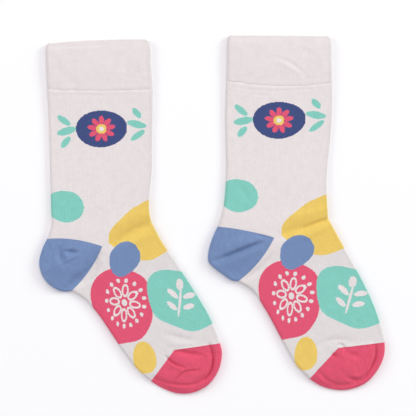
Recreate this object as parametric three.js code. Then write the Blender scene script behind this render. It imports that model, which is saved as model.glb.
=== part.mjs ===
// Pair of knitted crew socks, laid flat on their sides next to each other.
// Millimetres, +Z up. +X runs from the heels to the toes and +Y up to the cuffs.
// The socks rest on z = 0, and the origin is the middle of the ground they cover.
//
// Each sock is one knitted tube in four stretches:
//   cuff      the double welt round the mouth
//   leg_foot  the plain tube of leg, instep and sole, slit open at the back for the heel
//   heel      a pocket that fills that slit, and whose point lies on the ankle
//   toe       a pocket that closes the foot, and whose point lies on the side of the toes
// All of them are cloth walls round a thin hollow, folded along the back and the front edge.

import * as THREE from 'three';
import { mergeVertices } from 'three/addons/utils/BufferGeometryUtils.js';

// Cloth walls, and the clearance between two stretches
const LEG_WALL = 1.2;
const CUFF_WALL = 2.0;
const POCKET_WALL = 1.5;
const SEAM_GAP = 0.3;
const LEAST_HOLLOW = 0.4;

// Heights of the flattened sock, from the ground to the top of its upper layer
const CUFF_HIGH = 4.8;
const HEEL_SWELL = 1.6;
const TOE_SWELL = 1.4;
const RIM_SWELL = 0.8;

// The toe's rim is rolled: a groove follows the outline at this distance inside it
const RIM_GROOVE = { inset: 7.4, width: 2.4, depth: 1.1 };

// A pocket's walls stop this far short of its point
const POCKET_TIP = 2.0;
// The seam's clearance fades out over this share of a pocket, counted from each border
const SEAM_SHARE = 0.25;

// How finely the forms are divided
const STEPS = { section: 2, topHalf: 8, bottomHalf: 3, fold: 4, heel: 12, toe: 16 };
// Distances from the outline at which a pocket's upper layer has a row of points
const RIM_ROWS = [4.9, 7.4, 9.9, 13];
// Points nearer than this are one point
const MERGE_DISTANCE = 1e-4;

const COLOURS = { cuff: 0xe8dfe0, leg_foot: 0xe6dddd, heel: 0x758bb4, toe: 0xe2506d };

// Sections across each sock, from the mouth down. back, middle and front are [x, y] from
// the ankle point, where the heel's point lies, and high is the height of the flat sock.
// A row with a bend borders a pocket: its back half curves towards that point. Others
// pass their middle in one smooth line.
// heel and toe are points of their outlines, between the two sections that they join.
// folds are soft troughs in the upper layer, from one point to another.
const LEFT_SOCK = {
  name: 'left',
  ankle: [-95.3, -27.3],
  cuff: [
    { back: [-47.6, 177.6], middle: [-4.0, 179.7], front: [39.6, 180.2] },
    { back: [-49.5, 174.4], middle: [-4.0, 176.6], front: [41.0, 177.0] },
    { back: [-48.9, 156.9], middle: [-3.5, 157.8], front: [41.4, 158.6] },
    { back: [-48.3, 136.2], middle: [-2.6, 134.9], front: [42.9, 136.2] },
  ],
  leg: [
    { back: [-46.7, 110.0], middle: [-2.0, 109.0], front: [42.7, 111.5], high: 3.0 },
    { back: [-45.9, 84.0], middle: [-1.6, 83.0], front: [42.5, 88.0], high: 3.0 },
    { back: [-45.3, 58.0], middle: [-1.2, 57.0], front: [42.4, 66.5], high: 3.2 },
    { back: [-44.6, 32.0], middle: [-0.6, 30.0], front: [40.5, 44.0], high: 3.6 },
    { back: [-44.3, 20.0], middle: [-0.3, 14.5], front: [40.4, 31.5], high: 4.0 },
    { back: [-48.1, 6.4], bend: [-24.0, 8.4], middle: [0, 0], front: [42.2, 21.6], high: 4.2 },
  ],
  foot: [
    { back: [-26.6, -38.5], bend: [-9.3, -22.0], middle: [0, 0], front: [42.2, 21.6], high: 4.2 },
    { back: [-14.4, -46.9], middle: [10.4, -15.0], front: [51.3, 4.4], high: 3.8 },
    { back: [-3.0, -60.0], middle: [20.9, -29.9], front: [62.6, -12.5], high: 3.4 },
    { back: [7.0, -74.6], middle: [31.3, -45.0], front: [73.6, -29.3], high: 3.4 },
    { back: [16.9, -89.4], middle: [41.7, -59.9], front: [84.3, -46.1], high: 3.4 },
    { back: [28.6, -104.9], middle: [52.1, -74.9], front: [94.4, -64.1], high: 3.8 },
    { back: [42.1, -117.4], bend: [52.4, -103.7], middle: [62.6, -89.9], front: [102.1, -84.1], high: 4.2 },
  ],
  heel: [[-52.1, -1.6], [-55.0, -13.5], [-53.0, -23.8], [-47.1, -32.5], [-39.1, -37.9], [-32.6, -39.4]],
  toe: [[51.5, -123.2], [64.8, -127.9], [79.3, -127.0], [92.7, -119.8], [101.2, -107.0], [104.0, -93.5]],
  folds: [
    { name: 'ankle trough', from: [18, 14.5], to: [43, 27], width: 6.5, depth: 0.9 },
    { name: 'heel dimple', from: [-31, -4.5], to: [-14, -5.5], width: 4.5, depth: 1.3 },
    { name: 'toe notch', from: [58.5, -97], to: [68, -106], width: 3.4, depth: 1.1 },
  ],
};

const RIGHT_SOCK = {
  name: 'right',
  ankle: [54.0, -19.8],
  cuff: [
    { back: [-38.9, 175.3], middle: [4.3, 175.2], front: [47.6, 174.7] },
    { back: [-40.7, 172.2], middle: [4.2, 172.1], front: [48.9, 171.6] },
    { back: [-41.1, 154.6], middle: [3.8, 153.7], front: [49.4, 153.7] },
    { back: [-41.6, 136.4], middle: [3.0, 131.5], front: [50.0, 134.4] },
  ],
  leg: [
    { back: [-42.3, 109.0], middle: [3.0, 105.3], front: [49.7, 109.5], high: 3.0 },
    { back: [-42.0, 84.1], middle: [2.6, 79.5], front: [48.4, 85.9], high: 3.0 },
    { back: [-41.6, 59.3], middle: [2.0, 54.5], front: [46.0, 62.8], high: 3.2 },
    { back: [-43.0, 34.5], middle: [1.0, 29.5], front: [45.6, 41.0], high: 3.6 },
    { back: [-45.5, 21.0], middle: [0.4, 14.5], front: [46.2, 27.5], high: 4.0 },
    { back: [-49.2, 9.7], bend: [-23.9, 7.2], middle: [0, 0], front: [46.9, 16.7], high: 4.2 },
  ],
  foot: [
    { back: [-31.4, -37.8], bend: [-11.5, -23.0], middle: [0, 0], front: [46.9, 16.7], high: 4.2 },
    { back: [-18.0, -46.9], middle: [9.3, -15.9], front: [56.5, -0.7], high: 3.8 },
    { back: [-8.0, -61.6], middle: [18.6, -31.8], front: [66.2, -18.3], high: 3.4 },
    { back: [1.0, -77.7], middle: [27.9, -47.7], front: [75.9, -35.9], high: 3.4 },
    { back: [9.5, -93.9], middle: [37.2, -63.6], front: [84.4, -53.3], high: 3.4 },
    { back: [18.8, -109.9], middle: [46.5, -79.4], front: [91.4, -72.0], high: 3.8 },
    { back: [30.7, -122.8], bend: [42.6, -109.2], middle: [55.6, -95.6], front: [96.1, -90.7], high: 4.2 },
  ],
  heel: [[-53.6, 0.0], [-56.8, -10.6], [-57.3, -20.2], [-52.6, -26.0], [-45.0, -31.8], [-37.4, -37.0]],
  toe: [[41.5, -129.3], [54.5, -132.4], [67.6, -131.5], [80.5, -125.7], [90.4, -114.4], [95.7, -102.0]],
  folds: [
    { name: 'ankle trough', from: [11, 7], to: [48, 18.5], width: 6.5, depth: 0.9 },
    { name: 'heel gore', from: [-12, -3], to: [-49, -18.5], width: 4.0, depth: 1.5 },
    { name: 'toe dent', from: [60, -101], to: [71, -104.5], width: 3.4, depth: 1.0 },
  ],
};

const toVector = ([x, y]) => new THREE.Vector2(x, y);
const halfway = (a, b) => a.clone().add(b).multiplyScalar(0.5);

// The points that shape a section, with one between the middle and each edge to bend to
function sectionPoints(row) {
  const [back, middle, front] = [row.back, row.middle, row.front].map(toVector);
  if (row.bend) {
    return { back, backBend: toVector(row.bend), middle, frontBend: halfway(middle, front), front };
  }
  const across = front.clone().sub(back).normalize();
  const bendTowards = (edge) => {
    const reach = edge.clone().sub(middle).dot(across) / 2;
    return middle.clone().addScaledVector(across, reach);
  };
  return { back, backBend: bendTowards(back), middle, frontBend: bendTowards(front), front };
}

// Sections at even steps between the rows of a table
function sectionsOf(rows) {
  const spans = rows.length - 1;
  const points = rows.map(sectionPoints);
  const lines = {};
  for (const key of Object.keys(points[0])) {
    lines[key] = new THREE.SplineCurve(points.map((point) => point[key]));
  }
  return Array.from({ length: spans * STEPS.section + 1 }, (_, i) => {
    const place = i / STEPS.section;
    const low = Math.min(Math.floor(place), spans - 1);
    const section = { high: THREE.MathUtils.lerp(rows[low].high, rows[low + 1].high, place - low) };
    for (const [key, line] of Object.entries(lines)) {
      section[key] = line.getPoint(place / spans);
    }
    return section;
  });
}

// Height of the upper layer at a spot of the plan, with the folds pressed into it
function pressed(high, spot, folds, wall) {
  let top = high;
  for (const { from, to, width, depth } of folds) {
    const line = new THREE.Line3(new THREE.Vector3(...from, 0), new THREE.Vector3(...to, 0));
    const place = new THREE.Vector3(spot.x, spot.y, 0);
    const nearest = line.closestPointToPoint(place, true, new THREE.Vector3());
    top -= depth * Math.exp(-((place.distanceTo(nearest) / width) ** 2));
  }
  return Math.max(top, 2 * wall + LEAST_HOLLOW);
}

// Points of half a section, from its middle along the ground, round the folded edge and
// back over the top. inset is 0 on the outer face of the cloth and its wall on the inner.
// shares are the places of the top's points, from 0 at the fold to 1 at the middle.
function halfLoop({ edge, bend, middle, outward, high, topAt, shares }, inset) {
  const radius = high / 2;
  const fold = edge.clone().addScaledVector(outward, -radius);
  const curve = new THREE.QuadraticBezierCurve(fold, bend, middle);
  const points = [];
  for (let i = 0; i < STEPS.bottomHalf; i += 1) {
    const spot = curve.getPoint(1 - i / STEPS.bottomHalf);
    points.push(new THREE.Vector3(spot.x, spot.y, inset));
  }
  const foldHollow = topAt(fold, 0) - 2 * inset;
  for (let i = 0; i < STEPS.fold; i += 1) {
    const angle = Math.PI * (i / STEPS.fold - 0.5);
    const spot = fold.clone().addScaledVector(outward, (radius - inset) * Math.cos(angle));
    points.push(new THREE.Vector3(spot.x, spot.y, inset + foldHollow * (0.5 + 0.5 * Math.sin(angle))));
  }
  for (const share of shares) {
    const spot = curve.getPoint(share);
    points.push(new THREE.Vector3(spot.x, spot.y, topAt(spot, share) - inset));
  }
  return points;
}

const EVEN_SHARES = Array.from({ length: STEPS.topHalf + 1 }, (_, i) => i / STEPS.topHalf);

function tubeHalf(section, side, folds, wall) {
  const edge = section[side];
  const bend = section[`${side}Bend`];
  return {
    edge,
    bend,
    middle: section.middle,
    outward: edge.clone().sub(bend).normalize(),
    high: section.high,
    topAt: (spot) => pressed(section.high, spot, folds, wall),
    shares: EVEN_SHARES,
  };
}

// A whole section: back half from below to above, then the front half from above to below
function ring(section, folds, wall, inset) {
  const back = halfLoop(tubeHalf(section, 'back', folds, wall), inset);
  const front = halfLoop(tubeHalf(section, 'front', folds, wall), inset).reverse();
  return [...back, ...front.slice(1)];
}

// A tube's rings on the outer and on the inner face of its cloth
function tubeRings(rows, folds, wall) {
  const sections = sectionsOf(rows);
  return {
    outer: sections.map((section) => ring(section, folds, wall, 0)),
    inner: sections.map((section) => ring(section, folds, wall, wall)),
  };
}

// Surfaces are gathered as loose triangles, and points that they share are merged last

function addFace(triangles, corners, outwards) {
  const [a, b, c, d] = outwards ? corners : corners.toReversed();
  triangles.push(a, b, c, a, c, d);
}

function addSheet(triangles, rows, outwards) {
  for (let i = 0; i + 1 < rows.length; i += 1) {
    for (let j = 0; j + 1 < rows[i].length; j += 1) {
      addFace(triangles, [rows[i][j], rows[i + 1][j], rows[i + 1][j + 1], rows[i][j + 1]], outwards);
    }
  }
}

// The strip that joins the outer and the inner face of the cloth along one cut edge
function addCutEdge(triangles, outer, inner, outwards) {
  for (let j = 0; j + 1 < outer.length; j += 1) {
    addFace(triangles, [outer[j], outer[j + 1], inner[j + 1], inner[j]], outwards);
  }
}

function addCloth(triangles, { outer, inner }) {
  addSheet(triangles, outer, true);
  addSheet(triangles, inner, false);
}

function closedGeometry(triangles) {
  const geometry = new THREE.BufferGeometry().setFromPoints(triangles);
  return mergeVertices(geometry, MERGE_DISTANCE);
}

function cuffGeometry(sock) {
  const cuff = tubeRings(sock.cuff.map((row) => ({ ...row, high: CUFF_HIGH })), [], CUFF_WALL);
  const triangles = [];
  addCloth(triangles, cuff);
  addCutEdge(triangles, cuff.outer[0], cuff.inner[0], true);
  addCutEdge(triangles, cuff.outer.at(-1), cuff.inner.at(-1), false);
  return closedGeometry(triangles);
}

// The leg starts one seam below the cuff
function legRows(sock) {
  const below = ([x, y]) => [x, y - SEAM_GAP];
  const { back, middle, front } = sock.cuff.at(-1);
  const top = { back: below(back), middle: below(middle), front: below(front), high: sock.leg[0].high };
  return [top, ...sock.leg];
}

// Leg and foot share the front half of the ankle section. Their back halves part there,
// and the slit between them has a cut edge all round the heel.
function legFootGeometry(sock) {
  const leg = tubeRings(legRows(sock), sock.folds, LEG_WALL);
  const foot = tubeRings(sock.foot, sock.folds, LEG_WALL);
  const backHalf = (loop) => loop.slice(0, STEPS.bottomHalf + STEPS.fold + STEPS.topHalf + 1);
  const triangles = [];
  addCloth(triangles, leg);
  addCloth(triangles, foot);
  addCutEdge(triangles, leg.outer[0], leg.inner[0], true);
  addCutEdge(triangles, backHalf(leg.outer.at(-1)), backHalf(leg.inner.at(-1)), false);
  addCutEdge(triangles, backHalf(foot.outer[0]), backHalf(foot.inner[0]), true);
  addCutEdge(triangles, foot.outer.at(-1), foot.inner.at(-1), false);
  return closedGeometry(triangles);
}

// A border of a pocket: where it ends on the outline, what it bends to, and which way
// the pocket lies from it
function pocketBorder(point, edge, bend, turn) {
  const along = point.clone().sub(edge).normalize();
  return {
    bendOffset: bend.clone().sub(halfway(edge, point)),
    inward: new THREE.Vector2(along.y, -along.x).multiplyScalar(turn),
  };
}

// Places of the top's points along a spoke: rows beside the rim, then even steps inwards
function spokeShares(length, radius) {
  const rim = RIM_ROWS.map((inset) => (inset - radius) / (length - radius));
  const last = rim.at(-1);
  const count = STEPS.topHalf - rim.length;
  const rest = Array.from({ length: count }, (_, i) => last + ((1 - last) * (i + 1)) / count);
  return [0, ...rim, ...rest];
}

// A pocket is a fan of spokes from its point to the folded outline. Its first and last
// spoke lie along the borders of the tube and keep the seam's clearance to them.
function pocketSpoke(pocket, folds, share) {
  const { point, path, first, last, high, swell, groove } = pocket;
  const crown = Math.sin(Math.PI * share);
  const end = path.getPointAt(share);
  const chord = end.clone().sub(point);
  const length = chord.length();
  const bendOffset = first.bendOffset.clone().lerp(last.bendOffset, share);
  const bend = halfway(end, point).add(bendOffset);

  const tangent = path.getTangentAt(share);
  const across = new THREE.Vector2(tangent.y, -tangent.x);
  across.multiplyScalar(Math.sign(across.dot(chord)));
  const outward = end.clone().sub(bend).normalize().lerp(across, crown).normalize();

  const clearance = new THREE.Vector2();
  clearance.addScaledVector(first.inward, SEAM_GAP * Math.max(0, 1 - share / SEAM_SHARE));
  clearance.addScaledVector(last.inward, SEAM_GAP * Math.max(0, 1 - (1 - share) / SEAM_SHARE));

  const edgeHigh = high + RIM_SWELL * crown;
  const topAt = (spot, inwards) => {
    const fromGroove = (length * inwards + edgeHigh / 2 - groove.inset) / groove.width;
    let top = high + crown * (RIM_SWELL * (1 - inwards) + swell * Math.sin(Math.PI * inwards));
    top -= groove.depth * Math.sqrt(crown) * Math.exp(-(fromGroove ** 2));
    return pressed(top, spot, folds, POCKET_WALL);
  };
  return {
    edge: end.add(clearance),
    bend: bend.add(clearance),
    middle: point.clone().addScaledVector(chord, POCKET_TIP / length).add(clearance),
    outward,
    high: edgeHigh,
    topAt,
    shares: spokeShares(length, edgeHigh / 2),
  };
}

function pocketGeometry(pocket, folds, steps) {
  const spokes = Array.from({ length: steps + 1 }, (_, i) => pocketSpoke(pocket, folds, i / steps));
  const outer = spokes.map((spoke) => halfLoop(spoke, 0));
  const inner = spokes.map((spoke) => halfLoop(spoke, POCKET_WALL));
  const column = (rows, place) => rows.map((row) => row.at(place));
  const triangles = [];
  addCloth(triangles, { outer, inner });
  addCutEdge(triangles, outer[0], inner[0], true);
  addCutEdge(triangles, outer.at(-1), inner.at(-1), false);
  addCutEdge(triangles, column(outer, 0), column(inner, 0), false);
  addCutEdge(triangles, column(outer, -1), column(inner, -1), true);
  return closedGeometry(triangles);
}

function heelGeometry(sock) {
  const above = sectionPoints(sock.leg.at(-1));
  const below = sectionPoints(sock.foot[0]);
  const pocket = {
    point: above.middle,
    path: new THREE.SplineCurve([above.back, ...sock.heel.map(toVector), below.back]),
    first: pocketBorder(above.middle, above.back, above.backBend, 1),
    last: pocketBorder(above.middle, below.back, below.backBend, -1),
    high: sock.leg.at(-1).high,
    swell: HEEL_SWELL,
    groove: { ...RIM_GROOVE, depth: 0 },
  };
  return pocketGeometry(pocket, sock.folds, STEPS.heel);
}

function toeGeometry(sock) {
  const end = sectionPoints(sock.foot.at(-1));
  const pocket = {
    point: end.middle,
    path: new THREE.SplineCurve([end.back, ...sock.toe.map(toVector), end.front]),
    first: pocketBorder(end.middle, end.back, end.backBend, 1),
    last: pocketBorder(end.middle, end.front, end.frontBend, -1),
    high: sock.foot.at(-1).high,
    swell: TOE_SWELL,
    groove: RIM_GROOVE,
  };
  return pocketGeometry(pocket, sock.folds, STEPS.toe);
}

function piece(sock, stretch, geometry) {
  const material = new THREE.MeshStandardMaterial({ color: COLOURS[stretch], roughness: 0.95, metalness: 0 });
  const mesh = new THREE.Mesh(geometry, material);
  mesh.name = `${sock.name}_${stretch}`;
  return mesh;
}

function buildSock(sock) {
  const group = new THREE.Group();
  group.position.set(...sock.ankle, 0);
  group.add(
    piece(sock, 'cuff', cuffGeometry(sock)),
    piece(sock, 'leg_foot', legFootGeometry(sock)),
    piece(sock, 'heel', heelGeometry(sock)),
    piece(sock, 'toe', toeGeometry(sock)),
  );
  return group;
}

const pair = new THREE.Group();
pair.add(buildSock(LEFT_SOCK), buildSock(RIGHT_SOCK));

export default pair;
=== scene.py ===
"""Pair of knitted crew socks, laid flat on their sides on a pale floor.

Each sock is one knitted tube in four stretches: the welt cuff, the tube of leg and foot, the
heel pocket and the toe pocket. Tables are in millimetres from the ankle point of each sock.
"""

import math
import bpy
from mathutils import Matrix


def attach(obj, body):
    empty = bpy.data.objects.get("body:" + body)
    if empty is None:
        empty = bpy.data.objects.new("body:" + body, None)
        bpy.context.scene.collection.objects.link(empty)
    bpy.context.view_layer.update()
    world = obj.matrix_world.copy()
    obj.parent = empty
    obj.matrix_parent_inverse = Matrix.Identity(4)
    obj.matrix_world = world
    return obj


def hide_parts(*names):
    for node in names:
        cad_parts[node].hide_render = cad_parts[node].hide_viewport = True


bl_info = {
    "name": "Pair of Crew Socks",
    "version": (1, 0, 0),
    "blender": (4, 5, 0),
    "location": "3D View > Sidebar > Socks",
    "description": "Knitted crew socks laid flat, with welt cuffs, heel pockets and toe pockets",
    "category": "Object",
}

import bmesh
import bpy
from mathutils import Vector, noise

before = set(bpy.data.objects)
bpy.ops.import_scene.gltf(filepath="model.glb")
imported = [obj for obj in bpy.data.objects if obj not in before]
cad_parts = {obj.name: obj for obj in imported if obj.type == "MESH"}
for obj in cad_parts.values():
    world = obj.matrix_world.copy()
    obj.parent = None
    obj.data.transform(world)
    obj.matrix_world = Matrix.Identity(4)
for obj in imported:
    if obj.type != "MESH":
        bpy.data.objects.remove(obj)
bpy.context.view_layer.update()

MM = 0.001
STITCH_MAP = "Stitches"
NO_PUSH = Vector((0, 0))

# Gauge of the knit on the flat leg. Wales are counted from the middle of the upper layer:
# half a round is the upper layer out to the fold, the fold itself, and the layer on the
# ground back to its middle.
WALE = 0.8
COURSE = 0.5
WALES = {"above": 52, "fold": 6, "below": 52}
WALES_TO_FOLD = WALES["above"] + WALES["fold"] / 2

# Loops are too fine to show at the picture's size, so two wales and courses are drawn as one
LOOPS_DRAWN = 2

# A drawn stitch: how far its legs lean, how much its height waves along a leg, and how sharply
# the painted shade of the line beside the next wale begins. Painted shade darkens some wales beside a
# fold.
STITCH = {"lean": 0.9, "wave": 0.4, "fall": 3.0, "fold_shade_wales": 5.0}

# How finely a half round and a span of a pocket's outline are divided, and the steps of rows and
# spokes along the cloth in millimetres. Points nearer than JOINED_WITHIN become one.
DIVISIONS = {"below": 22, "fold": 8, "above": 42}
OUTLINE_STEPS = 40
LEAST_SPOKES = 8
ROW_STEP = 1.0
SPOKE_STEP = 1.1
JOINED_WITHIN = 0.002

# The welt's inner layer has every fourth row, and its cloth turns at the mouth in six steps
INNER_ROWS = 4
TURN_STEPS = 6

# A crease's line has this many steps a span, and it does nothing beyond its reach, counted in
# widths. It gets shallower towards its ends, down to its depth at this share of its length.
CREASE_STEPS = 6
CREASE_REACH = 2.6
CREASE_END = 0.05

# Rise and fall of cloth smoothed by hand: width, length and height of the patches, and the
# layer of the noise that each is read from
UNEVENNESS = (
    {"wide": 26, "long": 34, "high": 0.22, "layer": 1},
    {"wide": 7, "long": 9, "high": 0.09, "layer": 6},
)

# Height of the cuff and of its mouth, which is lower over this length, the swells of the pockets
# over the foot's height, and the least hollow between the two layers
CUFF_HIGH = 4.6
MOUTH_HIGH = 4.0
MOUTH_FADE = 5.0
HEEL_SWELL = 1.5
TOE_SWELL = 1.3
RIM_SWELL = 0.8
LEAST_HOLLOW = 0.3

# The line at the foot of the cuff: a dip in a wider fall. It wanders up and down by millimetres,
# and its depth changes by a share, each over patches of this size.
CUFF_LINE = {"width": 1.3, "depth": 0.5, "fall": 0.7, "fade": 11.0}
CUFF_LINE_WANDER = {"by": 1.0, "size": 11, "layer": 9}
CUFF_LINE_UNEVEN = {"by": 0.9, "size": 7, "layer": 3}

# The leg's upper end: how far it is tucked into the cuff and set in from it, and the low lip
# below the cuff, which is held down by a share right beside it and fades out down the leg
LEG_LIP = {"tuck": 0.8, "inset": 0.35, "rise": 1.2, "held": 0.5, "high": 0.9, "fade": 20.0}

# Sections across each sock, from the mouth down. A row with a bend borders a pocket.
# heel and toe are points of their outlines, between the two sections that they join.
LEFT_SOCK = {
    "name": "left",
    "ankle": (-95.3, -27.3),
    "cuff": [
        {"back": (-47.6, 175.8), "middle": (-4.0, 178.8), "front": (38.0, 179.4)},
        {"back": (-49.5, 172.6), "middle": (-4.0, 175.7), "front": (41.2, 175.8)},
        {"back": (-48.9, 156.9), "middle": (-3.5, 157.8), "front": (42.0, 158.6)},
        {"back": (-48.3, 136.2), "middle": (-2.6, 134.9), "front": (43.5, 136.2)},
    ],
    "leg": [
        {"back": (-46.7, 110.0), "middle": (-2.0, 109.0), "front": (43.3, 111.5), "high": 3.0},
        {"back": (-45.9, 84.0), "middle": (-1.6, 83.0), "front": (42.9, 88.0), "high": 3.0},
        {"back": (-45.3, 58.0), "middle": (-1.2, 57.0), "front": (42.7, 66.5), "high": 3.2},
        {"back": (-44.6, 32.0), "middle": (-0.6, 30.0), "front": (40.5, 44.0), "high": 3.6},
        {"back": (-44.3, 20.0), "middle": (-0.3, 14.5), "front": (40.4, 31.5), "high": 4.0},
        {"back": (-48.1, 6.4), "bend": (-24.0, 8.4), "middle": (0, 0), "front": (42.2, 21.6),
         "high": 4.2},
    ],
    "foot": [
        {"back": (-26.6, -38.5), "bend": (-9.3, -22.0), "middle": (0, 0), "front": (42.2, 21.6),
         "high": 4.2},
        {"back": (-14.4, -46.9), "middle": (10.4, -15.0), "front": (51.3, 4.4), "high": 3.8},
        {"back": (-3.0, -60.0), "middle": (20.9, -29.9), "front": (62.6, -12.5), "high": 3.4},
        {"back": (7.0, -74.6), "middle": (31.3, -45.0), "front": (73.6, -29.3), "high": 3.4},
        {"back": (16.9, -89.4), "middle": (41.7, -59.9), "front": (84.3, -46.1), "high": 3.4},
        {"back": (28.6, -104.9), "middle": (52.1, -74.9), "front": (94.4, -64.1), "high": 3.8},
        {"back": (42.1, -117.4), "bend": (52.4, -103.7), "middle": (62.6, -89.9), "front": (102.1, -84.1),
         "high": 4.2},
    ],
    "heel": [
        (-52.1, -1.6), (-55.0, -13.5), (-53.0, -23.8), (-47.1, -32.5), (-39.1, -37.9), (-32.6, -39.4),
    ],
    "toe": [
        (51.5, -123.2), (64.8, -127.9), (79.3, -127.0), (92.7, -119.8), (101.2, -107.0), (104.0, -93.5),
    ],
}

RIGHT_SOCK = {
    "name": "right",
    "ankle": (54.0, -19.8),
    "cuff": [
        {"back": (-38.9, 175.3), "middle": (4.3, 175.2), "front": (47.2, 174.6)},
        {"back": (-40.7, 172.2), "middle": (4.2, 172.1), "front": (49.4, 171.6)},
        {"back": (-41.1, 154.6), "middle": (3.8, 153.7), "front": (50.0, 153.7)},
        {"back": (-41.6, 136.4), "middle": (3.0, 131.5), "front": (50.7, 134.4)},
    ],
    "leg": [
        {"back": (-42.3, 109.0), "middle": (3.0, 105.3), "front": (50.3, 109.5), "high": 3.0},
        {"back": (-42.0, 84.1), "middle": (2.6, 79.5), "front": (48.8, 85.9), "high": 3.0},
        {"back": (-41.6, 59.3), "middle": (2.0, 54.5), "front": (46.3, 62.8), "high": 3.2},
        {"back": (-43.0, 34.5), "middle": (1.0, 29.5), "front": (45.6, 41.0), "high": 3.6},
        {"back": (-45.5, 21.0), "middle": (0.4, 14.5), "front": (46.2, 27.5), "high": 4.0},
        {"back": (-49.2, 9.7), "bend": (-23.9, 7.2), "middle": (0, 0), "front": (46.9, 16.7),
         "high": 4.2},
    ],
    "foot": [
        {"back": (-31.4, -37.8), "bend": (-11.5, -23.0), "middle": (0, 0), "front": (46.9, 16.7),
         "high": 4.2},
        {"back": (-18.0, -46.9), "middle": (9.3, -15.9), "front": (56.5, -0.7), "high": 3.8},
        {"back": (-8.0, -61.6), "middle": (18.6, -31.8), "front": (66.2, -18.3), "high": 3.4},
        {"back": (1.0, -77.7), "middle": (27.9, -47.7), "front": (75.9, -35.9), "high": 3.4},
        {"back": (9.5, -93.9), "middle": (37.2, -63.6), "front": (84.4, -53.3), "high": 3.4},
        {"back": (18.8, -109.9), "middle": (46.5, -79.4), "front": (91.4, -72.0), "high": 3.8},
        {"back": (30.7, -122.8), "bend": (42.6, -109.2), "middle": (55.6, -95.6), "front": (96.1, -90.7),
         "high": 4.2},
    ],
    "heel": [
        (-53.6, 0.0), (-56.8, -10.6), (-57.3, -20.2), (-52.6, -26.0), (-45.0, -31.8), (-37.4, -37.0),
    ],
    "toe": [
        (41.5, -129.3), (54.5, -132.4), (67.6, -131.5), (80.5, -125.7), (90.4, -114.4), (95.7, -102.0),
    ],
}

# Creases of the upper layer: name, width, depth and the points of the crease's line. A depth
# above 0 is a trough and one below 0 a ridge, and at its width about a third of it is left.
LEFT_CREASES = [
    ("mouth hem", 0.9, 0.22, [(-49, 173.0), (-22, 173.8), (6, 175.0)]),
    ("cuff hollow", 4.5, 0.35, [(-36, 152), (-24, 142)]),
    ("cuff swell", 7.0, -0.3, [(-10, 160), (8, 152)]),
    ("second line", 0.9, 0.25, [(-47, 131.2), (-20, 131.8), (6, 131.0), (28, 131.9)]),
    ("leg hollow back", 9.0, 0.35, [(-34, 118), (-31, 70)]),
    ("leg hollow front", 8.0, 0.3, [(27, 112), (30, 58)]),
    ("leg swell", 10.0, -0.4, [(-8, 60), (4, 28)]),
    ("ankle trough", 4.4, 2.5, [(12, 2.5), (22, 9.5), (32, 15.5), (43, 20.5)]),
    ("ankle ridge", 4.4, -0.8, [(12, 17), (24, 25), (38, 30)]),
    ("instep ridge", 3.6, -0.8, [(22, 0), (34, 7), (44, 11)]),
    ("heel dimple", 1.9, 2.8, [(-31.5, -4.2), (-27, -4.9), (-21.5, -5.2)]),
    ("heel ridge", 1.5, -1.1, [(-35, -14.4), (-28.6, -11.0), (-21, -6.6)]),
    ("heel upright", 2.3, 2.5, [(-36.5, -2), (-35, -9), (-33.5, -15)]),
    ("lower heel band", 3.6, 3.7, [(-3, -7.5), (-8, -16.5), (-15.5, -24.6), (-24, -30), (-30, -36)]),
    ("heel crown", 6.0, -1.0, [(-42, -20), (-27, -17)]),
    ("sole trough", 2.6, 2.2, [(-2.6, -16), (-9.2, -25.6), (-19, -33.4)]),
    ("sole ridge", 1.3, -0.7, [(-0.5, -11), (-6.2, -19.6), (-13, -26)]),
    ("arch hollow", 7.0, 0.5, [(4, -46), (20, -66)]),
    ("instep hollow", 8.0, 0.5, [(52, -22), (66, -44)]),
    ("foot trough", 2.6, 0.8, [(54, -76), (66, -79), (80, -81.6)]),
    ("foot ridge", 2.0, -0.5, [(58, -84), (70, -84.8), (84, -83.8)]),
    ("toe crescent", 1.3, 3.6,
     [(93.2, -85.4), (96.0, -93.9), (95.5, -104.0), (91.7, -112.0), (86, -116.8)]),
    ("toe crescent foot", 1.25, 1.7, [(89, -114.8), (81, -119.2), (70, -120.2), (56.5, -119)]),
    ("toe crescent shelf", 1.7, -0.8, [(91.0, -92), (91.4, -100), (88, -108.4), (81.6, -113.6)]),
    ("toe lower slope", 4.2, 3.4, [(78, -129), (64, -128), (52, -123), (43, -116)]),
    ("toe lower rim", 1.7, 1.5, [(64, -119.6), (52.8, -117.6), (44.4, -113.4)]),
    ("toe notch", 1.15, 2.4, [(55.2, -95.8), (59, -99.2), (63.7, -102.5), (70.7, -104.8)]),
    ("toe notch lip", 1.2, -0.8, [(58.6, -101.6), (61.4, -103.6), (66.8, -106.4)]),
    ("toe ridge", 1.2, -0.6, [(66.4, -110.4), (71.2, -106.9), (84, -105.2)]),
    ("toe line", 0.95, 1.6,
     [(62.1, -116.8), (66.2, -113), (70.7, -109.1), (78.5, -107.5), (84.7, -107.2)]),
    ("under the seam", 2.4, 2.4, [(64.4, -91.8), (74, -93.2), (87, -94.4)]),
    ("upper toe gather", 0.8, 0.7, [(88.6, -91.2), (96, -92.6), (103.2, -92.2)]),
    ("lower toe gather", 0.8, 0.6, [(90.2, -96.2), (97, -95.2), (103.4, -95.8)]),
    ("toe middle swell", 4.0, -0.6, [(70, -100), (80, -101)]),
    ("toe seam", 0.8, -0.5, [(62.6, -89.9), (82.5, -87.2), (101.5, -84.3)]),
]

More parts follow.
